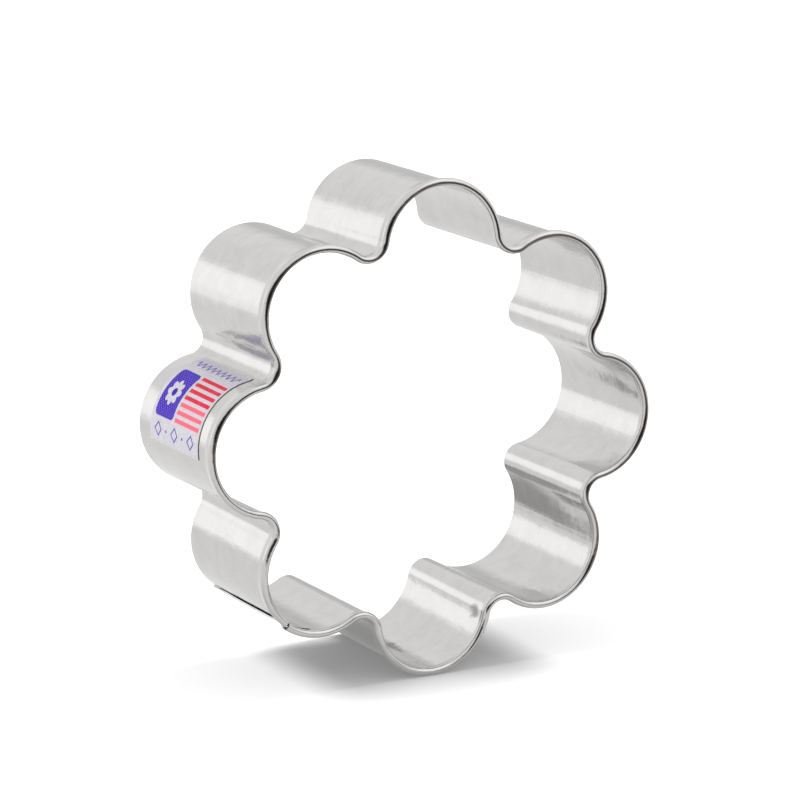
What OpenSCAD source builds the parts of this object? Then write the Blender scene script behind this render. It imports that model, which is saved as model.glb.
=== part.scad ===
// Scalloped flower cookie cutter. One strip of tinplate is rolled outward along its front edge,
// bent into eight petals and closed with a spot-welded lap on the lower left petal. A paper label
// sticks to the outside of the left petal. The cutter stands on its bottom petal: Y runs from the
// rolled rim back to the cutting edge, and Z is up.

/* [Flower] */
// Distance from the middle of the flower to the middle of a petal
petal_reach = 28.1; // [26:0.1:31]
// Outer radius of a petal, at the rim
petal_radius = 9.7; // [9:0.1:11]
// Radius on the hollow side of the bend between two petals, at the rim
valley_radius = 3.1; // [2.5:0.1:5]
// Width of the strip, from the front of the rolled rim to the cutting edge
strip_width = 25.4; // [25:0.1:40]
// How far the wall leans out from the rim to the cutting edge
flare = 0.5; // [0.1:0.05:0.65]

/* [Sheet and rolled rim] */
// Thickness of the tinplate
sheet = 0.3; // [0.2:0.02:0.36]
// Outer diameter of the rolled rim
roll_d = 1.2; // [0.9:0.05:1.6]
// Distance from the wall's outer face out to the middle of the roll
roll_shift = 0.08; // [0.02:0.02:0.2]
// Depth behind the front of the rim where the wall starts its step into the roll
step_depth = 1.6; // [1.1:0.1:2]
// Depth behind the front of the rim where the turned-back flap ends
flap_depth = 2.2; // [1.7:0.1:3]
// Gap between the end of the flap and the wall
flap_gap = 0.1; // [0.06:0.02:0.2]

/* [Lap seam] */
// Distance along the seam petal from its middle towards the bottom petal, to the joint in the rim
seam_shift = 1.4; // [0:0.1:3]
// Gap between the two ends of the rolled rim
rim_gap = 0.35; // [0.2:0.05:0.6]
// Length past the joint of the tongue that runs on inside the lap
tongue_length = 4.9; // [4:0.1:6]
// Depth of the tongue's front edge behind the front of the rim
tongue_front = 1.7; // [1.6:0.1:3]
// Gap between the two lapped layers
lap_gap = 0.03; // [0.02:0.01:0.1]

/* [Spot welds] */
// Number of spot welds across the strip
weld_count = 3; // [1:1:4]
// Diameter of a spot weld
weld_d = 1.6; // [1:0.1:1.8]
// Distance from the joint in the rim to the line of the welds, towards the bottom petal
weld_shift = 2.4; // [1.6:0.1:2.8]
// Depth of the first spot weld behind the front of the rim
weld_front = 6; // [4:0.5:8]
// Distance between neighbouring spot welds
weld_pitch = 7; // [3:0.5:7]
// Depth of the electrode's mark on each side of a weld
weld_dimple = 0.06; // [0.04:0.01:0.1]

/* [Label] */
// Length of the label around the left petal
label_length = 15.9; // [10:0.1:17]
// Length of the part of the label that lies below the petal's middle
label_below = 1.5; // [0:0.1:4]
// Width of the label across the strip
label_width = 16.2; // [10:0.1:18]
// Depth of the label's front edge behind the front of the rim
label_front = 5.1; // [3:0.1:7]
// Thickness of the label
label_thickness = 0.08; // [0.05:0.01:0.15]
// Thickness of the adhesive under the label, left open
adhesive = 0.01; // [0.01:0.01:0.05]

/* [Hidden] */
$fn = 120;
full_turn = 360;

// The petals' reaches as shares of petal_reach, anticlockwise from the bottom petal. The strip was
// bent by hand over pins, so they differ a little.
reach_shares = [1, 1, 1.01, 0.99, 1.02, 0.993, 1, 0.975];
petals = len(reach_shares);
bottom_angle = -90;
label_petal = 6;
seam_petal = 7;

// Overrun of a cutter past the face that it opens
overrun = 1;
// Where two stretches of the sheet meet, one runs this far into the other and is this much
// thinner on each face, so that they fuse into one solid
joint_overlap = 0.05;
joint_inset = 0.004;
// Number of flats that stand for the round of the rolled rim
roll_flats = 10;

roll_r = roll_d / 2;
// Furthest reach of the rolled rim outside the wall
rim_out = roll_shift + roll_r;
// Gap between the wall and the label's outer face
label_out = adhesive + label_thickness;
label_back = label_front + label_width;

function toward(angle) = [cos(angle), sin(angle)];
function bearing(v) = atan2(v.y, v.x);
function sweep(from, to) = (to - from + full_turn) % full_turn;
// Turn, in degrees, that an arc of this length makes
function turn(length, radius) = length / radius * 180 / PI;
function arc(angle, radius) = angle * PI / 180 * radius;
// Distance that the wall has leaned out at a depth behind the rim
function lean(depth) = flare * depth / strip_width;

function petal_angle(k) = bottom_angle + full_turn / petals * k;
function petal_center(k) = petal_reach * reach_shares[k % petals] * toward(petal_angle(k));
// Middle of the bend that joins petal k to the next petal
function valley_center(k) =
    let (
        a = petal_center(k),
        b = petal_center(k + 1),
        chord = norm(b - a),
        outward = [(b - a).y, -(b - a).x] / chord,
        rise = sqrt(pow(petal_radius + valley_radius, 2) - pow(chord / 2, 2))
    )
    (a + b) / 2 + rise * outward;
// Bearings at which petal k meets the bend before it and the bend after it
function petal_start(k) = bearing(valley_center(k + petals - 1) - petal_center(k));
function petal_end(k) = bearing(valley_center(k) - petal_center(k));

centers = [for (k = [0:petals - 1]) petal_center(k)];
spread = petal_radius + max(rim_out, flare);
middle_x = (max([for (c = centers) c.x]) + min([for (c = centers) c.x])) / 2;
stand_height = spread - min([for (c = centers) c.y]);

// Seam: the strip's two ends leave the petal's circle inward and outward by the same shift
seam_center = petal_center(seam_petal);
seam_start = petal_start(seam_petal);
seam_end = petal_end(seam_petal);
seam_angle = petal_angle(seam_petal) + turn(seam_shift, petal_radius);
half_gap_turn = turn(rim_gap / 2, petal_radius);
joint_turn = turn(joint_overlap, petal_radius);
inner_turn = sweep(seam_start, seam_angle);
outer_turn = sweep(seam_angle, seam_end);
lap_shift = (sheet + lap_gap) / (2 - cos(inner_turn) - cos(outer_turn));
inner_center = seam_center + lap_shift * toward(seam_start);
outer_center = seam_center - lap_shift * toward(seam_end);
inner_radius = petal_radius - lap_shift;
outer_radius = petal_radius + lap_shift;

// Weld line, seen from the middle of the seam petal
weld_angle = seam_angle + turn(weld_shift, petal_radius);
lap_inside = petal_radius - lap_shift * (1 - cos(sweep(seam_start, weld_angle))) - sheet;
lap_outside = petal_radius + lap_shift * (1 - cos(sweep(weld_angle, seam_end)));

// Label: what doesn't fit on the petal goes on round the bend above it
label_middle = petal_angle(label_petal);
petal_above = arc(sweep(petal_start(label_petal), label_middle), petal_radius);
label_above = label_length - label_below;
label_on_bend = max(0, label_above - petal_above);

// Stands the flower up: its plan becomes X and Z, and depth behind the rim becomes Y
module upright() {
    translate([-middle_x, -strip_width / 2, stand_height])
    rotate([90, 0, 0])
    children();
}

// Sweeps a section round the middle of a petal, anticlockwise between two bearings. A section's X
// is its distance outside the wall's outer face at the rim, and its Y is its depth, downward.
module petal_sweep(center, radius, from, to) {
    translate([center.x, center.y, 0])
    rotate([0, 0, from])
    rotate_extrude(angle = sweep(from, to))
    translate([radius, 0])
    children();
}

// Sweeps a section round the middle of a bend, and a little way into the petals at its ends
module valley_sweep(center, from, to) {
    overlap_turn = turn(joint_overlap, valley_radius);
    translate([center.x, center.y, 0])
    rotate([0, 0, from - overlap_turn])
    rotate_extrude(angle = sweep(from, to) + 2 * overlap_turn)
    translate([valley_radius, 0])
    mirror([1, 0])
    children();
}

// Points of the rolled rim's arc at one radius, from one bearing to another
function roll_arc(radius, from, to) = [
    for (i = [0:roll_flats]) [roll_shift, -roll_r] + radius * toward(from + (to - from) * i / roll_flats)
];

// The plain wall from a depth back to the cutting edge, inset on every side
module wall_section(front, inset) {
    polygon([
        [lean(front) - sheet + inset, -front - inset],
        [lean(front) - inset, -front - inset],
        [flare - inset, -strip_width + inset],
        [flare - sheet + inset, -strip_width + inset]
    ]);
}

// The whole section, inset on every side: wall, step into the roll, roll and turned-back flap
module rim_section(inset) {
    flap_foot = lean(flap_depth) + flap_gap;
    polygon(concat(
        [
            [flare - sheet + inset, -strip_width + inset],
            [lean(step_depth) - sheet + inset, -step_depth]
        ],
        roll_arc(roll_r - inset, 180, 0),
        [
            [flap_foot + sheet - inset, -flap_depth + inset],
            [flap_foot + inset, -flap_depth + inset]
        ],
        roll_arc(roll_r - sheet + inset, 0, 180),
        [
            [lean(step_depth) - inset, -step_depth],
            [flare - inset, -strip_width + inset]
        ]
    ));
}

module valley(k) {
    center = valley_center(k);
    valley_sweep(center, bearing(petal_center(k + 1) - center), bearing(petal_center(k) - center))
    rim_section(joint_inset);
}

module petal(k) {
    petal_sweep(petal_center(k), petal_radius, petal_start(k), petal_end(k))
    rim_section(0);
}

// The end of the strip that lies inside the lap. Its rolled rim is cut back to leave the tongue.
module inner_end() {
    rim_end = seam_angle - half_gap_turn;
    petal_sweep(inner_center, inner_radius, seam_start, rim_end)
    rim_section(0);
    petal_sweep(inner_center, inner_radius, rim_end - joint_turn, seam_angle + turn(tongue_length, petal_radius))
    wall_section(tongue_front, joint_inset);
}

// The end of the strip that lies outside the lap, cut off square
module outer_end() {
    petal_sweep(outer_center, outer_radius, seam_angle + half_gap_turn, seam_end)
    rim_section(0);
}

// One cylinder per weld, square to the lap, from one distance off the petal's middle to another
module weld_row(from, to) {
    translate([seam_center.x, seam_center.y, 0])
    rotate([0, 0, weld_angle])
    for (i = [0:weld_count - 1]) {
        depth = weld_front + i * weld_pitch;
        translate([from + lean(depth), 0, -depth])
        rotate([0, 90, 0])
        cylinder(h = to - from, d = weld_d);
    }
}

module strip() {
    color("gainsboro")
    upright()
    difference() {
        union() {
            for (k = [0:petals - 1]) {
                valley(k);
                if (k != seam_petal) petal(k);
            }
            inner_end();
            outer_end();
        }
        weld_row(lap_inside - overrun, lap_outside + overrun);
    }
}

module spot_welds() {
    color("silver")
    upright()
    weld_row(lap_inside + weld_dimple, lap_outside - weld_dimple);
}

module label_section(inset) {
    polygon([
        [lean(label_front) + adhesive + inset, -label_front - inset],
        [lean(label_front) + label_out - inset, -label_front - inset],
        [lean(label_back) + label_out - inset, -label_back + inset],
        [lean(label_back) + adhesive + inset, -label_back + inset]
    ]);
}

module label() {
    on_petal = min(label_above, petal_above);
    bend = valley_center(label_petal - 1);
    bend_start = bearing(petal_center(label_petal) - bend);
    color("white")
    upright() {
        petal_sweep(petal_center(label_petal), petal_radius,
            label_middle - turn(on_petal, petal_radius), label_middle + turn(label_below, petal_radius))
        label_section(0);
        if (label_on_bend > 0)
            valley_sweep(bend, bend_start, bend_start + turn(label_on_bend, valley_radius))
            label_section(joint_inset);
    }
}

strip();
spot_welds();
label();
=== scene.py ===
"""A scalloped flower cookie cutter of bright tinplate, standing on its bottom petal on a white floor.

The strip and its label start as flat pieces in millimetres: X is the distance along the strip, Y the distance out
of the wall's outer face at the rim, and Z the depth behind the front of the rim. A Geometry Nodes tree then bends
them round the outline of the flower and stands it up, in metres. The strip runs anticlockwise from the lap seam.
"""

import math

import bpy
from mathutils import Matrix, Vector


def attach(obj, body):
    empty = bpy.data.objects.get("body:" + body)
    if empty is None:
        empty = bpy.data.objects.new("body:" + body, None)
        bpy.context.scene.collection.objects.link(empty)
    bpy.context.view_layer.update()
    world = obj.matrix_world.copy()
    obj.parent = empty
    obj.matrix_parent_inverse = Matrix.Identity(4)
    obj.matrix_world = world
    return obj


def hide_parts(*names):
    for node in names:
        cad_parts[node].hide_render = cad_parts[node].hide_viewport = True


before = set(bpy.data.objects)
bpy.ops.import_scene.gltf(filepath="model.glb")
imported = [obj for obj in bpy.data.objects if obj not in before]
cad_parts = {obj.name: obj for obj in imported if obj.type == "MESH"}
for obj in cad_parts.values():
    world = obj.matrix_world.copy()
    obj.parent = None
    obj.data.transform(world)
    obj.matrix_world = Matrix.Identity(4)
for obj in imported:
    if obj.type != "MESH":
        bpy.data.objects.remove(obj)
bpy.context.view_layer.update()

# Sizes of the cutter, in millimetres, as in the part's source
PETAL_REACH = 28.1
PETAL_RADIUS = 9.7
BEND_RADIUS = 3.1
STRIP_WIDTH = 25.4
FLARE = 0.5
SHEET = 0.3
ROLL_DIAMETER = 1.2
ROLL_SHIFT = 0.08
FLAP_DEPTH = 2.2
FLAP_GAP = 0.1
SEAM_SHIFT = 1.4
RIM_GAP = 0.35
TONGUE_LENGTH = 4.9
TONGUE_FRONT = 1.7
LAP_GAP = 0.03
WELD_DIAMETER = 1.6
WELD_SHIFT = 2.4
WELD_DEPTHS = [6, 13, 20]
WELD_DIMPLE = 0.06
LABEL_LENGTH = 15.9
LABEL_BELOW = 1.5
LABEL_WIDTH = 16.2
LABEL_FRONT = 5.1
LABEL_THICKNESS = 0.08
ADHESIVE = 0.01

# The petals' reaches as shares of PETAL_REACH, anticlockwise from the bottom petal
REACH_SHARES = [1, 1, 1.01, 0.99, 1.02, 0.993, 1, 0.975]
PETALS = len(REACH_SHARES)
LABEL_PETAL = 6
SEAM_PETAL = 7

# Spacing of the cross-sections along a petal, along a bend and at the welds
PETAL_STEP = 0.4
BEND_STEP = 0.18
WELD_STEP = 0.12
# How far the fine cross-sections go on past the welds, and the spacing of the rows of points over a weld
FINE_REACH = 1.5
WELD_ROW_STEP = 0.13
# How far the outline goes on past the tongue's tip, and the spacing of its points
OUTLINE_SPARE = 0.5
OUTLINE_STEP = 0.1
# Spacing of the label's columns and rows of points
LABEL_COLUMN_STEP = 0.3
LABEL_ROW_STEP = 0.4
# Number of stretches round the outside and the hollow of the roll, and in the curves that lead into and out of it
ROLL_STEPS = 20
HOLLOW_STEPS = 8
CURVE_STEPS = 5
# Chamfer that the shears leave on the raw edges of the sheet
BURR = 0.05
# How far the outer layer's end springs off the lap, and along what length. It does so in full from one depth to
# another, and at the cutting edge this share of it is left.
SPRING = 0.19
SPRING_LENGTH = 2.0
SPRING_FULL_FROM, SPRING_FULL_TO = 7, 15
SPRING_LEFT = 0.15
# The electrode's mark: how far it goes past the weld's face, the width of its slope, and the radius and width of
# the heat tint round it
MARK_EXTRA, MARK_SLOPE = 0.015, 0.22
TINT_RADIUS, TINT_WIDTH = 0.95, 0.4
# How far the sheet wavers in and out by hand bending, the length of a wave and the seed
WAVER, WAVER_LENGTH, WAVER_SEED = 0.03, 7.0, 3.0
# Fold from which an edge shows sharp
SHARP_ANGLE = math.radians(38)


def toward(angle):
    return Vector((math.cos(angle), math.sin(angle)))


def bearing(v):
    return math.atan2(v.y, v.x)


def sweep(start, end):
    return (end - start) % (2 * math.pi)


def lean(depth):
    """How far the wall has leaned out at a depth behind the rim."""
    return FLARE * depth / STRIP_WIDTH


def petal_angle(k):
    return 2 * math.pi * k / PETALS - math.pi / 2


def petal_center(k):
    return PETAL_REACH * REACH_SHARES[k % PETALS] * toward(petal_angle(k))


def bend_center(k):
    """Middle of the bend that joins petal k to the next petal."""
    a, b = petal_center(k), petal_center(k + 1)
    chord = (b - a).length
    outward = Vector(((b - a).y, -(b - a).x)) / chord
    rise = math.sqrt((PETAL_RADIUS + BEND_RADIUS) ** 2 - (chord / 2) ** 2)
    return (a + b) / 2 + rise * outward


def petal_start(k):
    return bearing(bend_center(k - 1) - petal_center(k))


def petal_end(k):
    return bearing(bend_center(k) - petal_center(k))


centers = [petal_center(k) for k in range(PETALS)]
ROLL_RADIUS = ROLL_DIAMETER / 2
SPREAD = PETAL_RADIUS + max(ROLL_SHIFT + ROLL_RADIUS, FLARE)
MIDDLE_X = (max(c.x for c in centers) + min(c.x for c in centers)) / 2
STAND_HEIGHT = SPREAD - min(c.y for c in centers)

# Lap seam: the strip's two ends leave the petal's circle inward and outward by the same shift
seam_center = petal_center(SEAM_PETAL)
seam_start = petal_start(SEAM_PETAL)
seam_end = petal_end(SEAM_PETAL)
seam_angle = petal_angle(SEAM_PETAL) + SEAM_SHIFT / PETAL_RADIUS
half_gap_turn = RIM_GAP / 2 / PETAL_RADIUS
lap_shift = (SHEET + LAP_GAP) / (
    2 - math.cos(sweep(seam_start, seam_angle)) - math.cos(sweep(seam_angle, seam_end))
)
inner_center = seam_center + lap_shift * toward(seam_start)
outer_center = seam_center - lap_shift * toward(seam_end)
inner_radius = PETAL_RADIUS - lap_shift
outer_radius = PETAL_RADIUS + lap_shift
weld_angle = seam_angle + WELD_SHIFT / PETAL_RADIUS
# The outline starts at the joint in the rim and ends past the tongue
outline_start = seam_angle
outline_end = seam_angle + (TONGUE_LENGTH + OUTLINE_SPARE) / PETAL_RADIUS


def outline_arcs():
    """The flower as arcs in order: name, middle, radius, first bearing and signed turn."""
    arcs = [("outer end", outer_center, outer_radius, outline_start, sweep(outline_start, seam_end))]
    for k in range(PETALS):
        bend = (k - 1) % PETALS
        middle = bend_center(bend)
        first = bearing(petal_center(bend) - middle)
        last = bearing(petal_center(k) - middle)
        arcs.append((f"bend {bend}", middle, BEND_RADIUS, first, -sweep(last, first)))
        if k != SEAM_PETAL:
            start = petal_start(k)
            arcs.append((f"petal {k}", petal_center(k), PETAL_RADIUS, start, sweep(start, petal_end(k))))
    arcs.append(("inner end", inner_center, inner_radius, seam_start, sweep(seam_start, outline_end)))
    return arcs


arcs = outline_arcs()
# Distance along the strip at which each arc starts
arc_starts = {}
total = 0.0
for name, _, radius, _, turn in arcs:
    arc_starts[name] = total
    total += radius * abs(turn)


def along_outer(angle):
    return outer_radius * sweep(outline_start, angle)


def along_inner(angle):
    return arc_starts["inner end"] + inner_radius * sweep(seam_start, angle)


def seen_from(middle, radius, angle):
    """Bearing, from another middle, of the point where a ray from the seam petal's middle meets that circle."""
    ray = toward(angle)
    offset = seam_center - middle
    reach = -offset.dot(ray) + math.sqrt(offset.dot(ray) ** 2 - offset.length_squared + radius**2)
    return bearing(offset + reach * ray)


rim_first = along_outer(seam_angle + half_gap_turn)
rim_last = along_inner(seam_angle - half_gap_turn)
tongue_tip = along_inner(seam_angle + TONGUE_LENGTH / PETAL_RADIUS)
outer_weld = along_outer(seen_from(outer_center, outer_radius, weld_angle))
inner_weld = along_inner(seen_from(inner_center, inner_radius, weld_angle))


# Node trees


def add(tree, kind, inputs=None, **settings):
    """Adds a node with its settings, and gives its inputs values or links."""
    made = tree.nodes.new(kind)
    for name, value in settings.items():
        setattr(made, name, value)
    for key, value in (inputs or {}).items():
        if isinstance(value, bpy.types.NodeSocket):
            tree.links.new(value, made.inputs[key])
        else:
            made.inputs[key].default_value = value
    return made


def calc(tree, operation, *values):
    """The result of a Math node."""
    return add(tree, "ShaderNodeMath", dict(enumerate(values)), operation=operation).outputs[0]


def product(tree, value, *factors):
    for factor in factors:
        value = calc(tree, "MULTIPLY", value, factor)
    return value


def most(tree, value, *others):
    """The highest of several values."""
    for other in others:
        value = calc(tree, "MAXIMUM", value, other)
    return value


def vector_calc(tree, operation, *values):
    made = add(tree, "ShaderNodeVectorMath", dict(enumerate(values)), operation=operation)
    return made.outputs["Value" if operation in ("DOT_PRODUCT", "LENGTH") else "Vector"]


def scaled(tree, vector, factor):
    return add(tree, "ShaderNodeVectorMath", {0: vector, "Scale": factor}, operation="SCALE").outputs[0]


def split(tree, vector):
    """A vector's three parts."""
    return add(tree, "ShaderNodeSeparateXYZ", {0: vector}).outputs


def distance(tree, x, y):
    """Distance of a point from 0, 0."""
    return vector_calc(tree, "LENGTH", add(tree, "ShaderNodeCombineXYZ", {0: x, 1: y}).outputs[0])


def cloud(tree, place, scale, detail, roughness=0.5):
    """Cloudy noise about 0.5."""
    inputs = {"Vector": place, "Scale": scale, "Detail": detail, "Roughness": roughness}
    return add(tree, "ShaderNodeTexNoise", inputs).outputs[0]


def stored(tree, name, output="Fac"):
    """What the mesh stores under a name."""
    return add(tree, "ShaderNodeAttribute", attribute_name=name).outputs[output]


def ramp(tree, value, low, high, start=0.0, end=1.0):
    """The value, taken from low..high to start..end with soft ends and held there."""
    inputs = {"Value": value, "From Min": low, "From Max": high, "To Min": start, "To Max": end}
    return add(tree, "ShaderNodeMapRange", inputs, interpolation_type="SMOOTHSTEP").outputs["Result"]


def band(tree, value, low, high, blur=0.05):
    """1 between two values and 0 outside, with soft edges."""
    rise = ramp(tree, value, low - blur, low + blur)
    return product(tree, rise, ramp(tree, value, high - blur, high + blur, 1.0, 0.0))


def blend_colors(tree, factor, a, b, mode="MIX"):
    made = tree.nodes.new("ShaderNodeMix")
    made.data_type = "RGBA"
    made.blend_type = mode
    for socket, value in zip((made.inputs[0], made.inputs[6], made.inputs[7]), (factor, a, b)):
        if isinstance(value, bpy.types.NodeSocket):
            tree.links.new(value, socket)
        else:
            socket.default_value = value
    return made.outputs[2]


def group(name, inputs, outputs):
    """A shader node group with number and colour sockets, and its input and output nodes."""
    tree = bpy.data.node_groups.new(name, "ShaderNodeTree")
    for direction, sockets in (("INPUT", inputs), ("OUTPUT", outputs)):
        for label, kind, value in sockets:
            socket = tree.interface.new_socket(label, in_out=direction, socket_type=kind)
            if value is not None:
                socket.default_value = value
    return tree, tree.nodes.new("NodeGroupInput").outputs, tree.nodes.new("NodeGroupOutput").inputs


NUMBER, COLOR, VECTOR = "NodeSocketFloat", "NodeSocketColor", "NodeSocketVector"
GEOMETRY, OBJECT, MATERIAL = "NodeSocketGeometry", "NodeSocketObject", "NodeSocketMaterial"


# Flat pieces


def curve_between(start, start_way, end, end_way, count):
    """Points of a smooth curve between two points and directions, without its two ends."""
    points = []
    for i in range(1, count):
        t = i / count
        h1, h2 = 2 * t**3 - 3 * t**2 + 1, -2 * t**3 + 3 * t**2
        h3, h4 = t**3 - 2 * t**2 + t, t**3 - t**2
        points.append(h1 * start + h3 * start_way + h2 * end + h4 * end_way)
    return points


def roll_point(radius, angle):
    return Vector((ROLL_SHIFT, ROLL_RADIUS)) + radius * Vector((math.cos(angle), -math.sin(angle)))


# Depths of the rows of points on the wall, and of the closer rows over the welds
WALL_ROWS = [TONGUE_FRONT, 2.5, 3.6, 6.5, 10, 13.5, 17, 20.5, 23.5]
WELD_ROWS = [depth + WELD_ROW_STEP * i for depth in WELD_DEPTHS for i in range(-8, 9)]


def strip_section(fine):
    """The strip's cross-section as an ordered loop of (key, out, depth, edge). A key names a point's place in the
    loop, and edge is 1 on a raw sheared edge."""
    rows = sorted(set(WALL_ROWS + (WELD_ROWS if fine else [])))
    inner = [(lean(d) - SHEET, d) for d in reversed(rows)]
    outer = [(lean(d), d) for d in rows]
    away, back = Vector((0, -1)), Vector((0, 1))
    foot = lean(FLAP_DEPTH) + FLAP_GAP
    inner_top, roll_inside = Vector(inner[-1]), roll_point(ROLL_RADIUS, math.pi)
    hollow_inside, outer_top = roll_point(ROLL_RADIUS - SHEET, math.pi), Vector(outer[0])
    roll_outside, flap_end = roll_point(ROLL_RADIUS, 0), Vector((foot + SHEET, FLAP_DEPTH - BURR))
    flap_back, hollow_outside = Vector((foot, FLAP_DEPTH - BURR)), roll_point(ROLL_RADIUS - SHEET, 0)
    loop = [
        ("edge in", FLARE - SHEET + BURR, STRIP_WIDTH, 1),
        ("wall in", FLARE - SHEET, STRIP_WIDTH - BURR, 0),
    ]
    loop += [(f"in {depth:.2f}", out, depth, 0) for out, depth in inner]
    # The number before a direction is how long the sheet keeps to it
    turned = curve_between(inner_top, 1.2 * away, roll_inside, 0.7 * away, CURVE_STEPS)
    turned += [roll_point(ROLL_RADIUS, math.pi * (1 - i / ROLL_STEPS)) for i in range(ROLL_STEPS + 1)]
    turned += curve_between(roll_outside, 0.9 * back, flap_end, 1.5 * (flap_end - roll_outside), CURVE_STEPS)
    loop += [(f"roll {i}", p.x, p.y, 0) for i, p in enumerate(turned)]
    loop += [
        ("flap out", flap_end.x, flap_end.y, 0),
        ("flap edge out", foot + SHEET - BURR, FLAP_DEPTH, 1),
        ("flap edge in", foot + BURR, FLAP_DEPTH, 1),
        ("flap in", flap_back.x, flap_back.y, 0),
    ]
    hidden = curve_between(flap_back, 0.9 * (hollow_outside - flap_back), hollow_outside, 0.9 * away, 3)
    hidden += [roll_point(ROLL_RADIUS - SHEET, math.pi * i / HOLLOW_STEPS) for i in range(HOLLOW_STEPS + 1)]
    hidden += curve_between(hollow_inside, 0.7 * back, outer_top, 1.2 * back, CURVE_STEPS)
    loop += [(f"hollow {i}", p.x, p.y, 0) for i, p in enumerate(hidden)]
    loop += [(f"out {depth:.2f}", out, depth, 0) for out, depth in outer]
    loop += [("wall out", FLARE, STRIP_WIDTH - BURR, 0), ("edge out", FLARE - BURR, STRIP_WIDTH, 1)]
    return loop


class Blank:
    """A flat piece in the making: corners, faces and what is stored on each corner."""

    def __init__(self):
        self.corners, self.faces, self.edge, self.heat = [], [], [], []

    def corner(self, along, out, depth, edge=0.0, heat=0.0):
        self.corners.append((along, out, depth))
        self.edge.append(edge)
        self.heat.append(heat)
        return len(self.corners) - 1

    def skin(self, first, second):
        """Faces between two rings of (key, corner). Where one ring has more points, the faces take them in."""
        keys = {key for key, _ in second}
        shared = [key for key, _ in first if key in keys]
        for key, following in zip(shared, shared[1:] + shared[:1]):
            low, high = stretch(first, key, following), stretch(second, key, following)
            self.faces.append(low + high[::-1])

    def mesh(self, name):
        mesh = bpy.data.meshes.new(name)
        mesh.from_pydata(self.corners, [], self.faces)
        for label, values in (("edge", self.edge), ("heat", self.heat)):
            mesh.attributes.new(label, "FLOAT", "POINT").data.foreach_set("value", values)
        return mesh


def stretch(ring, key, following):
    """The ring's corners from one key to another."""
    names = [name for name, _ in ring]
    i, j = names.index(key), names.index(following)
    if j <= i:
        j += len(ring)
    return [ring[n % len(ring)][1] for n in range(i, j + 1)]


def smooth(value, low, high):
    """The value, taken from low..high to 0..1 with soft ends and held there."""
    t = min(max((value - low) / (high - low), 0), 1)
    return t * t * (3 - 2 * t)


def weld_press(along, depth, weld, radius):
    """Depth of the electrode's mark in the face of the sheet at a point, and the heat tint there."""
    press, heat = 0.0, 0.0
    for weld_depth in WELD_DEPTHS:
        away = math.hypot(along - weld, depth - weld_depth)
        if away < 2 * WELD_DIAMETER:
            plane = WELD_DIMPLE + MARK_EXTRA - (along - weld) ** 2 / (2 * radius)
            press = max(press, plane * (1 - smooth(away, WELD_DIAMETER / 2, WELD_DIAMETER / 2 + MARK_SLOPE)))
            heat = max(heat, math.exp(-(((away - TINT_RADIUS) / TINT_WIDTH) ** 2)))
    return press, heat


def sprung(along, depth):
    """How far the outer layer's end has sprung off the lap, between the welds and the joint."""
    toward_end = max(1 - (along - rim_first) / SPRING_LENGTH, 0)
    share = smooth(depth, FLAP_DEPTH, SPRING_FULL_FROM)
    share *= 1 - (1 - SPRING_LEFT) * smooth(depth, SPRING_FULL_TO, STRIP_WIDTH)
    return SPRING * toward_end**2 * share


def strip_ring(blank, along, section, side=None):
    """A cross-section of the strip. side is the lapped layer that it is in, if any."""
    ring = []
    for key, out, depth, edge in section:
        heat = 0.0
        if side == "outer" and is_wall(key):
            out += sprung(along, depth)
        if side == "outer" and key.startswith(("out ", "wall out")):
            press, heat = weld_press(along, depth, outer_weld, outer_radius)
            out -= press
        if side == "inner" and key.startswith(("in ", "wall in")):
            press, heat = weld_press(along, depth, inner_weld, inner_radius)
            out += press
        ring.append((key, blank.corner(along, out, depth, edge, heat)))
    return ring


def is_wall(key):
    """Whether a point of the section is in the plain wall behind the rolled rim."""
    return key.startswith(("in ", "out ", "wall ", "edge "))


def spaced(start, end, step):
    count = max(1, math.ceil((end - start) / step))
    return [start + (end - start) * i / count for i in range(count + 1)]


def strip_blank():
    """The whole strip, flat. Its first end is cut off square, and at its last end the rim is cut back to leave a
    tongue."""
    blank = Blank()
    coarse, fine = strip_section(False), strip_section(True)
    fine_end = outer_weld + FINE_REACH

    rings = [strip_ring(blank, a, fine, "outer") for a in spaced(rim_first, fine_end, WELD_STEP)]
    stations = []
    for name, _, radius, _, turn in arcs:
        start, end = arc_starts[name], arc_starts[name] + radius * abs(turn)
        start, end = max(start, fine_end), min(end, rim_last)
        stations += spaced(start, end, BEND_STEP if name.startswith("bend") else PETAL_STEP)[1:]
    rings += [strip_ring(blank, a, coarse) for a in stations[:-1]]
    rings.append(strip_ring(blank, rim_last, fine, "inner"))
    for first, second in zip(rings, rings[1:]):
        blank.skin(first, second)
    blank.faces.append([corner for _, corner in rings[0]][::-1])

    front = f"{TONGUE_FRONT:.2f}"
    blank.faces.append(stretch(rings[-1], "in " + front, "out " + front))
    ring = [item for item in rings[-1] if is_wall(item[0])]
    tongue = [point for point in fine if is_wall(point[0])]
    for a in spaced(rim_last, tongue_tip, WELD_STEP)[1:]:
        following = strip_ring(blank, a, tongue, "inner")
        blank.skin(ring, following)
        ring = following
    blank.faces.append([corner for _, corner in ring])
    return blank


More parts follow.
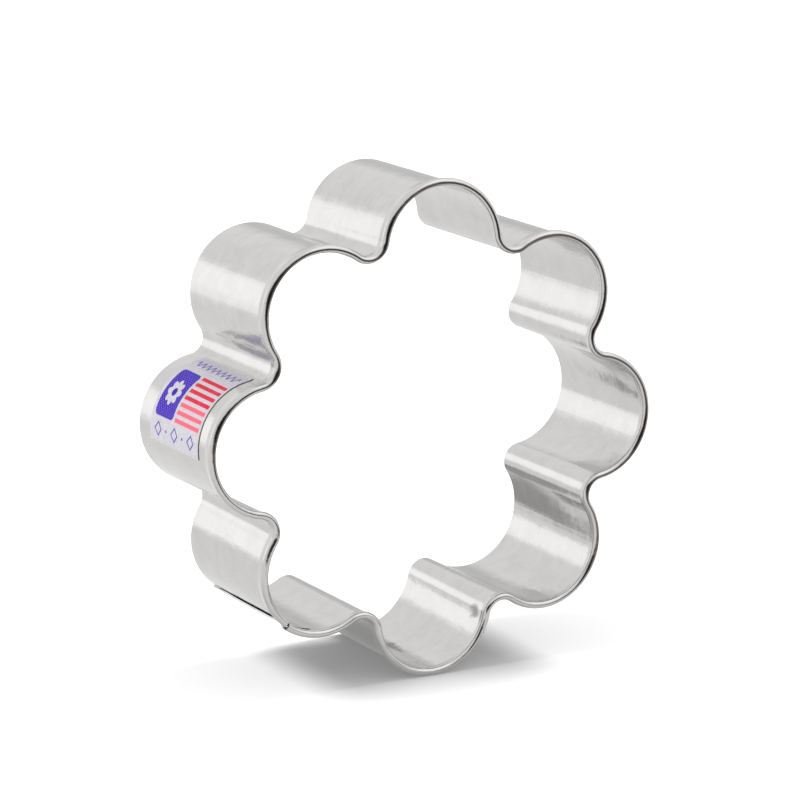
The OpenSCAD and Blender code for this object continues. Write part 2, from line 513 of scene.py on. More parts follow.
def label_blank():
    """The paper label, flat, and the distance along the strip at which it starts."""
    blank = Blank()
    to_middle = sweep(petal_start(LABEL_PETAL), petal_angle(LABEL_PETAL))
    end = arc_starts[f"petal {LABEL_PETAL}"] + PETAL_RADIUS * to_middle + LABEL_BELOW
    start = end - LABEL_LENGTH
    columns = spaced(start, end, LABEL_COLUMN_STEP)
    rows = spaced(LABEL_FRONT, LABEL_FRONT + LABEL_WIDTH, LABEL_ROW_STEP)
    corners = {}
    for side, out in enumerate((ADHESIVE, ADHESIVE + LABEL_THICKNESS)):
        for i, along in enumerate(columns):
            for j, depth in enumerate(rows):
                corners[side, i, j] = blank.corner(along, lean(depth) + out, depth)

    def face(*places):
        blank.faces.append([corners[place] for place in places])

    last_i, last_j = len(columns) - 1, len(rows) - 1
    for i in range(last_i):
        for j in range(last_j):
            face((1, i, j), (1, i, j + 1), (1, i + 1, j + 1), (1, i + 1, j))
            face((0, i, j), (0, i + 1, j), (0, i + 1, j + 1), (0, i, j + 1))
    for i in range(last_i):
        face((0, i, 0), (1, i, 0), (1, i + 1, 0), (0, i + 1, 0))
        face((0, i + 1, last_j), (1, i + 1, last_j), (1, i, last_j), (0, i, last_j))
    for j in range(last_j):
        face((0, 0, j + 1), (1, 0, j + 1), (1, 0, j), (0, 0, j))
        face((0, last_i, j), (1, last_i, j), (1, last_i, j + 1), (0, last_i, j + 1))
    return blank, start


def outline_mesh():
    """The flower's outline, as points joined in order."""
    points = []
    for name, middle, radius, start, turn in arcs:
        steps = math.ceil(radius * abs(turn) / OUTLINE_STEP)
        fractions = [i / steps for i in range(1 if points else 0, steps + 1)]
        points += [middle + radius * toward(start + turn * fraction) for fraction in fractions]
    mesh = bpy.data.meshes.new("outline")
    mesh.from_pydata([(p.x, p.y, 0) for p in points], [(i, i + 1) for i in range(len(points) - 1)], [])
    return mesh


def bending_tree():
    """Bends a flat piece round the outline and stands it up, in metres."""
    tree = bpy.data.node_groups.new("bend round the flower", "GeometryNodeTree")
    tree.interface.new_socket("Geometry", in_out="OUTPUT", socket_type=GEOMETRY)
    numbers = ("Middle X", "Strip Width", "Stand Height", "Waver", "Waver Length", "Seed", "Sharp Angle")
    kinds = [("Flat Piece", GEOMETRY), ("Outline", OBJECT)]
    kinds += [(name, NUMBER) for name in numbers] + [("Material", MATERIAL)]
    for name, kind in kinds:
        tree.interface.new_socket(name, in_out="INPUT", socket_type=kind)
    given = tree.nodes.new("NodeGroupInput").outputs
    place = add(tree, "GeometryNodeInputPosition").outputs[0]
    kept = add(
        tree,
        "GeometryNodeStoreNamedAttribute",
        {"Geometry": given["Flat Piece"], "Name": "flat", "Value": place},
        data_type="FLOAT_VECTOR",
        domain="POINT",
    ).outputs["Geometry"]
    along, out, depth = split(tree, place)

    # The outline as a curve, and the place and the outward direction on it at a distance along the strip
    outline = add(tree, "GeometryNodeObjectInfo", {"Object": given["Outline"]}).outputs["Geometry"]
    outline = add(tree, "GeometryNodeMeshToCurve", {"Mesh": outline}).outputs["Curve"]
    outline = add(tree, "GeometryNodeSetCurveNormal", {"Curve": outline}, mode="Z_UP").outputs["Curve"]
    sample = add(tree, "GeometryNodeSampleCurve", {"Curves": outline, "Length": along}, mode="LENGTH").outputs
    wave = calc(tree, "ADD", calc(tree, "DIVIDE", along, given["Waver Length"]), given["Seed"])
    wave = add(tree, "ShaderNodeTexNoise", {"W": wave, "Detail": 1.0}, noise_dimensions="1D").outputs[0]
    waver = product(tree, calc(tree, "SUBTRACT", wave, 0.5), given["Waver"])
    outward = scaled(tree, sample["Normal"], calc(tree, "ADD", out, waver))
    x, z, _ = split(tree, vector_calc(tree, "ADD", sample["Position"], outward))
    stood = add(
        tree,
        "ShaderNodeCombineXYZ",
        {
            "X": calc(tree, "SUBTRACT", x, given["Middle X"]),
            "Y": calc(tree, "SUBTRACT", depth, calc(tree, "DIVIDE", given["Strip Width"], 2.0)),
            "Z": calc(tree, "ADD", z, given["Stand Height"]),
        },
    ).outputs[0]
    metres = scaled(tree, stood, 0.001)
    bent = add(tree, "GeometryNodeSetPosition", {"Geometry": kept, "Position": metres}).outputs[0]

    # Smooth shading, but for sharp folds
    fold = add(tree, "GeometryNodeInputMeshEdgeAngle").outputs["Unsigned Angle"]
    soft = add(tree, "FunctionNodeCompare", {0: fold, 1: given["Sharp Angle"]}, operation="LESS_THAN").outputs[0]
    bent = add(
        tree, "GeometryNodeSetShadeSmooth", {"Geometry": bent, "Shade Smooth": soft}, domain="EDGE"
    ).outputs[0]
    bent = add(tree, "GeometryNodeRealizeInstances", {"Geometry": bent}).outputs[0]
    bent = add(tree, "GeometryNodeSetMaterial", {"Geometry": bent, "Material": given["Material"]}).outputs[0]
    tree.links.new(bent, tree.nodes.new("NodeGroupOutput").inputs[0])
    return tree


def bend(name, blank, tree, outline, material):
    """Bends a flat piece with the tree, and returns it as a plain mesh object."""
    flat = bpy.data.objects.new(name + " flat", blank.mesh(name + "_flat"))
    bpy.context.scene.collection.objects.link(flat)
    modifier = flat.modifiers.new("bend", "NODES")
    modifier.node_group = tree
    values = {
        "Outline": outline,
        "Middle X": MIDDLE_X,
        "Strip Width": STRIP_WIDTH,
        "Stand Height": STAND_HEIGHT,
        "Waver": WAVER,
        "Waver Length": WAVER_LENGTH,
        "Seed": WAVER_SEED,
        "Sharp Angle": SHARP_ANGLE,
        "Material": material,
    }
    for item in tree.interface.items_tree:
        if item.in_out == "INPUT" and item.name in values:
            modifier[item.identifier] = values[item.name]
    bpy.context.view_layer.update()
    ready = flat.evaluated_get(bpy.context.evaluated_depsgraph_get())
    mesh = bpy.data.meshes.new_from_object(ready)
    mesh.name = name
    bpy.data.objects.remove(flat)
    piece = bpy.data.objects.new(name, mesh)
    bpy.context.scene.collection.objects.link(piece)
    return piece


# Camera, at the photograph's viewing angle

AZIMUTH, ELEVATION, ROLL = math.radians(-29.673), math.radians(12.382), math.radians(1.294)
# Camera's place from the middle of the flower's rim, in millimetres to its right, up and back
CAMERA_RIGHT, CAMERA_UP, CAMERA_BACK = -5.968, 5.135, 409.837
SENSOR_WIDTH, LENS = 36, 121.5

back = Vector(
    (
        math.sin(AZIMUTH) * math.cos(ELEVATION),
        -math.cos(AZIMUTH) * math.cos(ELEVATION),
        math.sin(ELEVATION),
    )
)
level = Vector((math.cos(AZIMUTH), math.sin(AZIMUTH), 0))
upright = back.cross(level)
camera_right = math.cos(ROLL) * level + math.sin(ROLL) * upright
camera_up = -math.sin(ROLL) * level + math.cos(ROLL) * upright


def place_camera():
    camera = bpy.data.objects.new("camera", bpy.data.cameras.new("camera"))
    camera.data.sensor_width = SENSOR_WIDTH
    camera.data.lens = LENS
    camera.data.clip_start = 0.01
    aim = Vector((-MIDDLE_X, -STRIP_WIDTH / 2, STAND_HEIGHT))
    spot = aim + CAMERA_RIGHT * camera_right + CAMERA_UP * camera_up + CAMERA_BACK * back
    turn = Matrix((camera_right, camera_up, back)).transposed().to_4x4()
    camera.matrix_world = Matrix.Translation(spot / 1000) @ turn
    bpy.context.scene.collection.objects.link(camera)
    bpy.context.scene.camera = camera


# Finishes

WHITE, BLACK = (1, 1, 1, 1), (0, 0, 0, 1)
# Tin: the darker and the lighter of what it wanders between, then rolling lines, scratches, the heat tint round
# a weld, raw edges, soil with a painted dark reflection, and painted black shade in unlit hollows
TIN_DARK, TIN_LIGHT = (0.59, 0.583, 0.574, 1), (0.645, 0.637, 0.628, 1)
TIN_LINE, TIN_SCRATCH = (0.3, 0.29, 0.28, 1), (0.36, 0.35, 0.34, 1)
TIN_HEATED, TIN_EDGE = (0.36, 0.32, 0.30, 1), (0.30, 0.29, 0.285, 1)
TIN_SOIL_AND_REFLECTION, TIN_UNLIT = (0.15, 0.135, 0.125, 1), (0.012, 0.011, 0.012, 1)
WELD_DARK, WELD_LIGHT = (0.38, 0.36, 0.34, 1), (0.52, 0.51, 0.49, 1)
# The label's paper and inks, the darker and the lighter of what each wanders between, and the painted shade along
# its lifted edge
PAPER_DARK, PAPER_LIGHT = (0.49, 0.47, 0.52, 1), (0.62, 0.605, 0.65, 1)
VIOLET_DARK, VIOLET_LIGHT, VIOLET_PALE = (0.03, 0.009, 0.30, 1), (0.05, 0.016, 0.42, 1), (0.2, 0.14, 0.66, 1)
RED_DARK, RED_LIGHT = (0.58, 0.016, 0.045, 1), (0.72, 0.03, 0.07, 1)
CORAL, CORAL_PALE = (0.80, 0.085, 0.14, 1), (0.84, 0.17, 0.22, 1)
LIFTED_EDGE_SHADE = (0.27, 0.235, 0.24, 1)

# A point is on a face of the sheet within the first of these distances, and off it past the second
FACE_NEAR, FACE_FAR = 0.06, 0.12
# Marks inside the bottom petal, the first soil and the second a painted dark reflection: bearing from its
# middle in degrees, depth, half length, half width, strength
SOIL_AND_REFLECTION_MARKS = ((347, 3.3, 1.35, 1.5, 0.5), (273, 14.5, 0.95, 4.8, 0.72))


def new_material(name):
    material = bpy.data.materials.new(name)
    material.use_nodes = True
    tree = material.node_tree
    return material, tree, tree.nodes["Principled BSDF"].inputs


def emboss(tree, surface, height, strength, distance):
    """Raises and sinks the surface by a height, in its shading."""
    bump = add(tree, "ShaderNodeBump", {"Height": height, "Strength": strength, "Distance": distance})
    tree.links.new(bump.outputs[0], surface["Normal"])


def tin_grain_group():
    """Mottling, rolling lines, fine scratches and shallow dents of tinned sheet, on coordinates in millimetres."""
    tree, given, result = group(
        "tin grain",
        [
            ("Place", VECTOR, None),
            ("Mottle Size", NUMBER, 4.0),
            ("Line Size", NUMBER, 0.25),
            ("Line Stretch", NUMBER, 0.02),
        ],
        [(name, NUMBER, None) for name in ("Mottle", "Lines", "Scratches", "Dents")],
    )
    place = given["Place"]
    mottle = cloud(tree, place, calc(tree, "DIVIDE", 1.0, given["Mottle Size"]), 6.0, 0.65)
    stretch_lines = add(tree, "ShaderNodeCombineXYZ", {0: given["Line Stretch"], 1: 1.0, 2: 1.0}).outputs[0]
    drawn = vector_calc(tree, "MULTIPLY", place, stretch_lines)
    lines = cloud(tree, drawn, calc(tree, "DIVIDE", 1.0, given["Line Size"]), 4.0, 0.6)
    # Scratches run three ways, which their turns and offsets keep apart
    scratches = 0.0
    for turn, offset in ((0.5, 10.0), (-0.9, 40.0), (1.4, 70.0)):
        turned = add(
            tree, "ShaderNodeVectorRotate", {"Vector": place, "Angle": turn}, rotation_type="Y_AXIS"
        ).outputs[0]
        turned = vector_calc(tree, "ADD", vector_calc(tree, "MULTIPLY", turned, (0.07, 1, 1)), (offset, 0, 0))
        scratches = most(tree, scratches, ramp(tree, cloud(tree, turned, 1.8, 3.0), 0.64, 0.72))
    dents = cloud(tree, place, 0.3, 2.0)
    for name, value in (("Mottle", mottle), ("Lines", lines), ("Scratches", scratches), ("Dents", dents)):
        tree.links.new(value, result[name])
    return tree


def unlit(tree, along, out, depth, off_wall, inner_face):
    """Painted shade, 1 where no light gets in: between the layers of the lap, at the end of the rolled rim, by the
    tongue, and in the hollow of the rolled rim. The tinplate paints it black.
    """
    outer_face = ramp(tree, off_wall, -FACE_FAR, -FACE_NEAR)
    behind_rim = ramp(tree, depth, TONGUE_FRONT - 0.1, TONGUE_FRONT)

    # Painted shade on the faces that meet in the lap, and on the end of the rolled rim
    under = product(tree, band(tree, along, rim_last - 0.06, tongue_tip + 1), outer_face)
    over = product(tree, band(tree, along, rim_first - 1, rim_first + SPRING_LENGTH), inner_face)
    lap = product(tree, most(tree, under, over), behind_rim)
    rim_end = band(tree, along, rim_first - 1, rim_first + 0.02, 0.02)
    rim_end = product(tree, rim_end, ramp(tree, depth, 1.3, 1.5, 0.75, 0.0))

    # Painted shade in the corners along the tongue's front edge and past its tip, on the layer under it
    tip = along_outer(seen_from(outer_center, outer_radius, seam_angle + TONGUE_LENGTH / PETAL_RADIUS))
    past_tip = product(tree, band(tree, along, tip - 0.06, tip + 0.1), behind_rim)
    by_front = band(tree, depth, TONGUE_FRONT - 0.2, TONGUE_FRONT)
    by_front = product(tree, by_front, band(tree, along, -0.5, tip + 0.1, 0.06))
    corner = product(tree, most(tree, past_tip, by_front), inner_face, 0.8)

    # Painted shade in the inside of the roll, and in the gap under its turned-back flap
    x, y = calc(tree, "SUBTRACT", out, ROLL_SHIFT), calc(tree, "SUBTRACT", depth, ROLL_RADIUS)
    hollow = ramp(tree, distance(tree, x, y), ROLL_RADIUS - 0.2, ROLL_RADIUS - 0.14, 1.0, 0.0)
    under_flap = band(tree, off_wall, -0.15, FLAP_GAP + 0.1, 0.02)
    under_flap = product(tree, under_flap, band(tree, depth, 0.5, FLAP_DEPTH - 0.1, 0.04))
    return most(tree, lap, rim_end, corner, hollow, under_flap)


def soil_and_painted_reflection(tree, flat, along, depth):
    """Ragged marks along the bottom petal: a soil mark near the rim, and a painted dark reflection deeper in."""
    ragged = calc(tree, "MULTIPLY_ADD", cloud(tree, flat, 0.9, 4.0), 2.0, -1.0)
    marks = 0.0
    for angle, mark_depth, length, width, strength in SOIL_AND_REFLECTION_MARKS:
        place = arc_starts["petal 0"] + PETAL_RADIUS * sweep(petal_start(0), math.radians(angle))
        x = calc(tree, "DIVIDE", calc(tree, "SUBTRACT", along, place), length)
        y = calc(tree, "DIVIDE", calc(tree, "SUBTRACT", depth, mark_depth), width)
        away = calc(tree, "ADD", distance(tree, x, y), ragged)
        marks = most(tree, marks, ramp(tree, away, 0.3, 1.2, strength, 0.0))
    return marks


def tinplate(grain):
    """Bright tinned steel sheet, with painted black shade where it is unlit, and brown at a soil mark and at a
    painted dark reflection.
    """
    material, tree, surface = new_material("tinplate")
    flat, edge, heat = stored(tree, "flat", "Vector"), stored(tree, "edge"), stored(tree, "heat")
    tin = add(tree, "ShaderNodeGroup", {"Place": flat}, node_tree=grain).outputs
    along, out, depth = split(tree, flat)
    off_wall = calc(tree, "MULTIPLY_ADD", depth, -FLARE / STRIP_WIDTH, out)
    inner_face = ramp(tree, off_wall, -SHEET + FACE_NEAR, -SHEET + FACE_FAR, 1.0, 0.0)
    # black is painted shade where no light gets in
    black = unlit(tree, along, out, depth, off_wall, inner_face)
    # brown is a soil mark and a painted dark reflection
    brown = product(tree, soil_and_painted_reflection(tree, flat, along, depth), inner_face)

    color = blend_colors(tree, ramp(tree, tin["Mottle"], 0.3, 0.7), TIN_DARK, TIN_LIGHT)
    for share, shade in (
        (ramp(tree, tin["Lines"], 0.3, 0.7, 0.08, 0.0), TIN_LINE),
        (product(tree, tin["Scratches"], 0.09), TIN_SCRATCH),
        (product(tree, heat, 0.55), TIN_HEATED),
        (product(tree, edge, 0.6), TIN_EDGE),
        (brown, TIN_SOIL_AND_REFLECTION),
        (black, TIN_UNLIT),
    ):
        color = blend_colors(tree, share, color, shade)
    tree.links.new(color, surface["Base Color"])

    rough = calc(tree, "ADD", ramp(tree, tin["Mottle"], 0.3, 0.7, 0.12, 0.18), product(tree, edge, 0.15))
    rough = calc(tree, "ADD", rough, ramp(tree, tin["Lines"], 0.35, 0.75, -0.02, 0.05))
    rough = calc(tree, "ADD", rough, product(tree, most(tree, black, brown), 0.3))
    tree.links.new(rough, surface["Roughness"])
    surface["Metallic"].default_value = 1.0
    height = calc(tree, "MULTIPLY_ADD", tin["Lines"], 0.05, product(tree, tin["Dents"], 0.8))
    emboss(tree, surface, calc(tree, "MULTIPLY_ADD", tin["Scratches"], -0.03, height), 1.0, 0.0001)
    return material


def weld_finish(grain):
    """Pressed face of a spot weld, dulled by the electrode."""
    material, tree, surface = new_material("spot weld")
    place = scaled(tree, add(tree, "ShaderNodeTexCoord").outputs["Object"], 1000.0)
    sizes = {"Place": place, "Mottle Size": 0.5, "Line Size": 0.12, "Line Stretch": 1.0}
    tin = add(tree, "ShaderNodeGroup", sizes, node_tree=grain).outputs
    tree.links.new(blend_colors(tree, tin["Mottle"], WELD_DARK, WELD_LIGHT), surface["Base Color"])
    tree.links.new(ramp(tree, tin["Lines"], 0.3, 0.7, 0.28, 0.42), surface["Roughness"])
    surface["Metallic"].default_value = 1.0
    emboss(tree, surface, tin["Lines"], 0.4, 0.00003)
    return material


# Label print, in millimetres down from the label's upper edge and across from its edge nearest the cutting edge

# Softness of the edge of a printed shape
INK_BLUR = 0.06
BLOCK_DOWN, BLOCK_ACROSS = 8.0, 3.95
BLOCK_HALF_DOWN, BLOCK_HALF_ACROSS, BLOCK_CORNER = 3.2, 2.25, 0.8
BLOCK_DOT_PITCH, BLOCK_DOT_RADIUS = 0.72, 0.14
FLOWER_SIZE, HEART_SIZE = 2.1, 0.66
STRIPES_DOWN, STRIPES_HEIGHT, STRIPE_PITCH, STRIPE_WIDTH = 4.0, 8.0, 1.225, 0.65
STRIPES_LEFT, STRIPES_RIGHT = 7.6, 15.6
# How far below the top of the stripes red goes over into coral
CORAL_DOWN = 4.5
CORAL_DOT_PITCH, CORAL_DOT_RADIUS = 0.3, 0.09
ZIGZAG_DOWN, ZIGZAG_HALF_PITCH, ZIGZAG_SLOPE, ZIGZAG_LINE = 1.35, 0.81, 1.5, 0.23
DIAMONDS_DOWN, DIAMOND_PITCH, DIAMOND_IN, DIAMOND_OUT = 13.9, 5.4, 0.85, 1.2
DIAMOND_DOT = 0.3


def inside(tree, value, edge, blur=INK_BLUR):
    """1 below an edge and 0 above it."""
    return ramp(tree, value, edge - blur, edge + blur, 1.0, 0.0)


def past(tree, value, limit):
    """How far a value is out past a limit on either side of 0."""
    return most(tree, calc(tree, "SUBTRACT", calc(tree, "ABSOLUTE", value), limit), 0.0)


def outside_flower(tree, x, y, size):
    """Distance outside an eight-petalled flower of this size round 0, 0."""
    wave = calc(tree, "ABSOLUTE", calc(tree, "COSINE", product(tree, calc(tree, "ARCTAN2", x, y), 4.0)))
    return calc(tree, "SUBTRACT", distance(tree, x, y), calc(tree, "MULTIPLY_ADD", wave, 0.3 * size, 0.7 * size))


def repeated(tree, value, pitch):
    """Distance to the middle of the cell that the value is in, in a row of cells of this pitch from 0."""
    return calc(tree, "SUBTRACT", calc(tree, "FLOORED_MODULO", value, pitch), pitch / 2)


def dots(tree, x, y, pitch, radius):
    """1 in the dots of two grids, the second shifted by half a pitch."""
    shifted = calc(tree, "ADD", x, pitch / 2), calc(tree, "ADD", y, pitch / 2)
    found = 0.0
    for a, b in ((x, y), shifted):
        away = distance(tree, repeated(tree, a, pitch), repeated(tree, b, pitch))
        found = most(tree, found, inside(tree, away, radius))
    return found


def label_print(label_start):
    """White gloss paper, printed with a violet block with a flower, red stripes and violet ornaments."""
    material, tree, surface = new_material("label paper")
    flat = stored(tree, "flat", "Vector")
    along, _, depth = split(tree, flat)
    down = calc(tree, "SUBTRACT", along, label_start)
    across = calc(tree, "SUBTRACT", LABEL_FRONT + LABEL_WIDTH, depth)
    fibre = cloud(tree, flat, 3.5, 4.0)
    ink = ramp(tree, cloud(tree, flat, 1.6, 3.0), 0.3, 0.7)
    paper = blend_colors(tree, ramp(tree, fibre, 0.3, 0.7), PAPER_DARK, PAPER_LIGHT)
    violet = blend_colors(tree, ink, VIOLET_DARK, VIOLET_LIGHT)

    # Block with rounded corners, pale dots and a white flower
    x, y = calc(tree, "SUBTRACT", down, BLOCK_DOWN), calc(tree, "SUBTRACT", across, BLOCK_ACROSS)
    corner = distance(tree, past(tree, x, BLOCK_HALF_DOWN), past(tree, y, BLOCK_HALF_ACROSS))
    pale = product(tree, dots(tree, x, y, BLOCK_DOT_PITCH, BLOCK_DOT_RADIUS), 0.7)
    block = blend_colors(tree, pale, violet, VIOLET_PALE)
    block = blend_colors(tree, inside(tree, outside_flower(tree, x, y, FLOWER_SIZE), 0.0), block, paper)
    block = blend_colors(tree, inside(tree, distance(tree, x, y), HEART_SIZE), block, violet)
    color = blend_colors(tree, inside(tree, corner, BLOCK_CORNER, 0.05), paper, block)

    # Seven stripes, the upper four red and the lower three coral
    start = calc(tree, "SUBTRACT", down, STRIPES_DOWN)
    stripes = band(tree, calc(tree, "FLOORED_MODULO", start, STRIPE_PITCH), 0.0, STRIPE_WIDTH)
    stripes = product(tree, stripes, band(tree, start, -0.1, STRIPES_HEIGHT + 0.1))
    stripes = product(tree, stripes, band(tree, across, STRIPES_LEFT, STRIPES_RIGHT))
    red = blend_colors(tree, ink, RED_DARK, RED_LIGHT)
    coral = dots(tree, down, across, CORAL_DOT_PITCH, CORAL_DOT_RADIUS)
    coral = blend_colors(tree, coral, CORAL, CORAL_PALE)
    red = blend_colors(tree, ramp(tree, start, CORAL_DOWN - 0.1, CORAL_DOWN + 0.1), red, coral)
    color = blend_colors(tree, stripes, color, red)

    # Violet ornaments above and below, drawn in thin lines
    zigzag = calc(tree, "PINGPONG", across, ZIGZAG_HALF_PITCH)
    zigzag = calc(tree, "MULTIPLY_ADD", zigzag, ZIGZAG_SLOPE, ZIGZAG_DOWN)
    zigzag = calc(tree, "ABSOLUTE", calc(tree, "SUBTRACT", down, zigzag))
    zigzag = product(tree, inside(tree, zigzag, ZIGZAG_LINE), band(tree, across, 1.3, 14.9))
    x = calc(tree, "ABSOLUTE", calc(tree, "SUBTRACT", down, DIAMONDS_DOWN))
    diamond = calc(tree, "ADD", x, calc(tree, "ABSOLUTE", repeated(tree, across, DIAMOND_PITCH)))
    diamond = band(tree, diamond, DIAMOND_IN, DIAMOND_OUT)
    between = repeated(tree, calc(tree, "ADD", across, DIAMOND_PITCH / 2), DIAMOND_PITCH)
    dot = inside(tree, calc(tree, "ADD", x, calc(tree, "ABSOLUTE", between)), DIAMOND_DOT)
    dot = product(tree, dot, band(tree, across, 2.0, 14.2))
    lines = most(tree, zigzag, diamond, dot)
    color = blend_colors(tree, product(tree, lines, 0.9), color, violet)

    # Painted shade: a grey line along the edge next to the rim, where the label lifts
    color = blend_colors(tree, ramp(tree, across, LABEL_WIDTH - 0.12, LABEL_WIDTH - 0.06), color, LIFTED_EDGE_SHADE)
    tree.links.new(color, surface["Base Color"])
    tree.links.new(ramp(tree, fibre, 0.3, 0.7, 0.4, 0.5), surface["Roughness"])
    surface["Specular IOR Level"].default_value = 0.12
    emboss(tree, surface, fibre, 0.15, 0.00002)
    return material


# Light tent and floor

# The tent's patches: way to the middle, radius of the even part and of the whole in degrees, and brightness
PANEL = ((-0.516, 0.848, 0.119), 8, 16.5, 1.43)
SHADED_SIDE = ((0.525, 0.848, 0.074), 9, 25, 0.66)
FRONT_LAMP = ((0.48, -0.49, 0.725), 14, 34, 1.4)
# The dark slot: ways along and across it, and for its brown edge and its black middle where the middle lies along
# it, half length, half width and colour
SLOT_ALONG, SLOT_ACROSS = (-0.914, 0, 0.406), (0.406, 0, 0.914)
SLOT_PARTS = ((0.12, 0.68, 0.2, (0.2, 0.168, 0.152, 1)), (0.32, 0.4, 0.17, (0.012, 0.011, 0.011, 1)))
# Middle of the cutter, from which the floor far away is seen as the tent's walls
TENT_MIDDLE = (0, 0, 0.04)
# The painted shadow on the floor behind the cutter, which only the metal sees: middle, ways along and across it
# and half sizes, in metres
PATCH_MIDDLE = (0.009, 0.053, 0)
PATCH_ALONG, PATCH_ACROSS = (0.75, -0.66, 0), (0.66, 0.75, 0)
PATCH_LENGTH, PATCH_WIDTH = 0.033, 0.020
# The floor's shade as the metal mirrors it, in the patch and elsewhere, and how much less than the tent's walls it
# glows, because the lamps light it too
PATCH_SHADE, MIRRORED_SHADE, MIRRORED_LIGHT = 0.05, 0.42, 0.635
# The floor's colour, and the glow that makes it white to the camera
FLOOR_COLOR, FLOOR_GLOW = (0.95, 0.95, 0.95, 1), 0.21
# Even light from all round, and each lamp's way and level
SOFT_LIGHT = (0.5, 0.5, 0.5, 1)
LAMPS = {"left lamp": ((-0.74, 0.2, 1), 0.48), "right lamp": ((0.72, 0.2, 1), 0.46)}
LAMP_SPREAD = math.radians(27)
FLOOR_REACH = 4


def tent_group():
    """The light tent as the metal sees it. Level is the brightness of its walls: a bright panel behind on the left,
    a shaded side behind on the right and a lamp over the front. Opening is the tint of the dark slot that runs from
    the camera's place round to the right: white away from it, brown at its edges and black in it."""
    tree, given, result = group(
        "light tent", [("Way", VECTOR, None)], [("Level", NUMBER, None), ("Opening", COLOR, None)]
    )
    way = vector_calc(tree, "NORMALIZE", given["Way"])
    level = 1.0
    for middle, full, end, value in (PANEL, SHADED_SIDE, FRONT_LAMP):
        near = vector_calc(tree, "DOT_PRODUCT", way, middle)
        patch = ramp(tree, near, math.cos(math.radians(end)), math.cos(math.radians(full)), 1.0, value)
        level = product(tree, level, patch)
    tree.links.new(level, result["Level"])
    # Where a way lies about the slot is measured half way from it to the camera's own
    half = vector_calc(tree, "NORMALIZE", vector_calc(tree, "ADD", way, tuple(back)))
    along = vector_calc(tree, "DOT_PRODUCT", half, SLOT_ALONG)
    across = vector_calc(tree, "DOT_PRODUCT", half, SLOT_ACROSS)
    tint = WHITE
    for middle, length, width, shade in SLOT_PARTS:
        x = calc(tree, "DIVIDE", calc(tree, "SUBTRACT", along, middle), length)
        outside = ramp(tree, distance(tree, x, calc(tree, "DIVIDE", across, width)), 0.55, 1.15)
        tint = blend_colors(tree, outside, shade, tint)
    tree.links.new(tint, result["Opening"])
    return tree


def mirrored(tree, path):
    """1 for what the camera sees in the metal, 0 for all else, also for the light that the metal throws back."""
    return most(tree, calc(tree, "SUBTRACT", path["Is Glossy Ray"], path["Diffuse Depth"]), 0.0)


def floor_finish(tent):
    """White floor. What the metal sees of it is a little darker, goes over into the tent's walls far away, and has a
    painted shadow behind the cutter."""
    material, tree, surface = new_material("floor")
    place = add(tree, "ShaderNodeTexCoord").outputs["Object"]
    path = add(tree, "ShaderNodeLightPath").outputs
    glossy, mirror = path["Is Glossy Ray"], mirrored(tree, path)
    way = vector_calc(tree, "SUBTRACT", place, TENT_MIDDLE)
    seen = add(tree, "ShaderNodeGroup", {"Way": way}, node_tree=tent).outputs

    # The painted shadow behind the cutter, which only the metal sees
    away = vector_calc(tree, "SUBTRACT", place, PATCH_MIDDLE)
    x = calc(tree, "DIVIDE", vector_calc(tree, "DOT_PRODUCT", away, PATCH_ALONG), PATCH_LENGTH)
    y = calc(tree, "DIVIDE", vector_calc(tree, "DOT_PRODUCT", away, PATCH_ACROSS), PATCH_WIDTH)
    shade = ramp(tree, distance(tree, x, y), 0.6, 1.0, PATCH_SHADE, MIRRORED_SHADE)
    shade = add(tree, "ShaderNodeCombineColor", {0: shade, 1: shade, 2: shade}).outputs[0]
    shade = blend_colors(tree, 1.0, shade, seen["Opening"], "MULTIPLY")
    shade = blend_colors(tree, mirror, BLACK, shade)
    tree.links.new(blend_colors(tree, glossy, FLOOR_COLOR, shade), surface["Base Color"])
    surface["Roughness"].default_value = 1.0
    surface["Specular IOR Level"].default_value = 0.0

    tree.links.new(blend_colors(tree, glossy, WHITE, seen["Opening"]), surface["Emission Color"])
    pool = most(tree, calc(tree, "SUBTRACT", seen["Level"], MIRRORED_LIGHT), 0.0)
    glow = calc(tree, "ADD", product(tree, mirror, pool), product(tree, path["Is Camera Ray"], FLOOR_GLOW))
    tree.links.new(glow, surface["Emission Strength"])
    return material


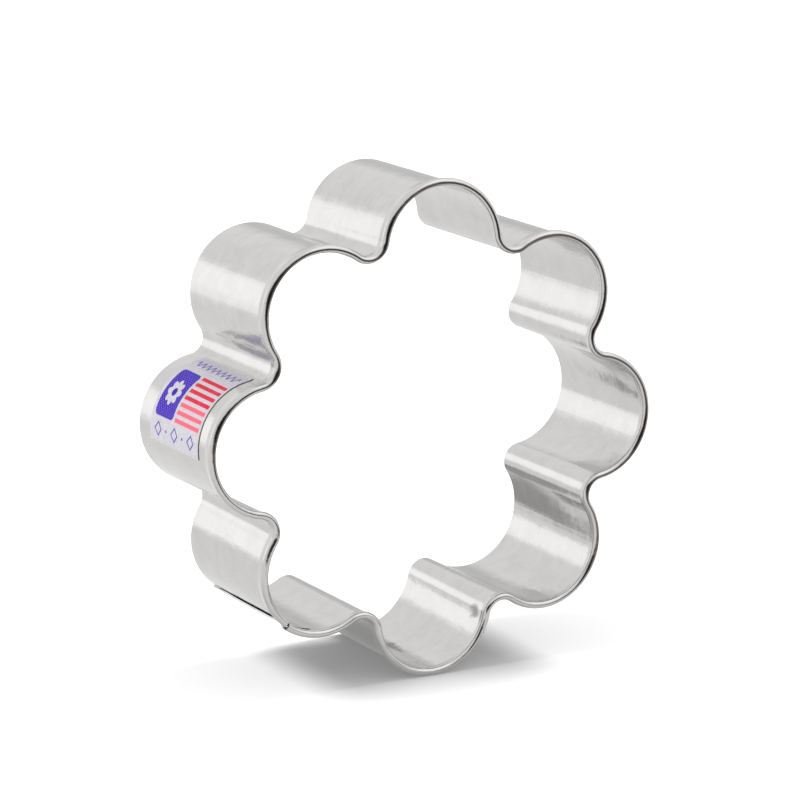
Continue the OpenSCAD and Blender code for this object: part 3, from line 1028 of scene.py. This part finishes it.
def lay_floor(tent):
    mesh = bpy.data.meshes.new("floor")
    corners = [(x * FLOOR_REACH, y * FLOOR_REACH, 0) for x, y in ((-1, -1), (1, -1), (1, 1), (-1, 1))]
    mesh.from_pydata(corners, [], [(0, 1, 2, 3)])
    mesh.materials.append(floor_finish(tent))
    floor = bpy.data.objects.new("floor", mesh)
    bpy.context.scene.collection.objects.link(floor)


def hang_lamp(name, way, level):
    """A far, round, soft lamp in a direction. level is how bright it alone makes a white floor."""
    lamp = bpy.data.lights.new(name, "SUN")
    lamp.angle = LAMP_SPREAD
    way = Vector(way).normalized()
    lamp.energy = level * math.pi / way.z
    piece = bpy.data.objects.new(name, lamp)
    piece.matrix_world = way.to_track_quat("Z", "Y").to_matrix().to_4x4()
    piece.visible_glossy = False
    bpy.context.scene.collection.objects.link(piece)


def light_tent(tent):
    """The surroundings: white to the camera, an even soft light, and the tent to the metal."""
    world = bpy.data.worlds.new("light tent")
    bpy.context.scene.world = world
    world.use_nodes = True
    tree = world.node_tree
    way = add(tree, "ShaderNodeTexCoord").outputs["Generated"]
    seen = add(tree, "ShaderNodeGroup", {"Way": way}, node_tree=tent).outputs
    path = add(tree, "ShaderNodeLightPath").outputs
    walls = blend_colors(tree, mirrored(tree, path), BLACK, scaled(tree, seen["Opening"], seen["Level"]))
    color = blend_colors(tree, path["Is Glossy Ray"], SOFT_LIGHT, walls)
    color = blend_colors(tree, path["Is Camera Ray"], color, WHITE)
    tree.links.new(color, tree.nodes["Background"].inputs["Color"])


place_camera()
tent = tent_group()
light_tent(tent)
for name, (way, lamp_level) in LAMPS.items():
    hang_lamp(name, way, lamp_level)
lay_floor(tent)

grain = tin_grain_group()
tree = bending_tree()
outline = bpy.data.objects.new("outline", outline_mesh())
bpy.context.scene.collection.objects.link(outline)
strip = bend("bent_strip", strip_blank(), tree, outline, tinplate(grain))
flat_label, label_start = label_blank()
label = bend("paper_label", flat_label, tree, outline, label_print(label_start))
bpy.data.objects.remove(outline)

for piece, node, name in ((strip, "strip", "tinplate"), (label, "label", "label_paper")):
    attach(piece, "root")
    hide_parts(node)
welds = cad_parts["spot_welds"]
welds.data.materials.clear()
welds.data.materials.append(weld_finish(grain))

bpy.context.scene.view_settings.view_transform = "Standard"
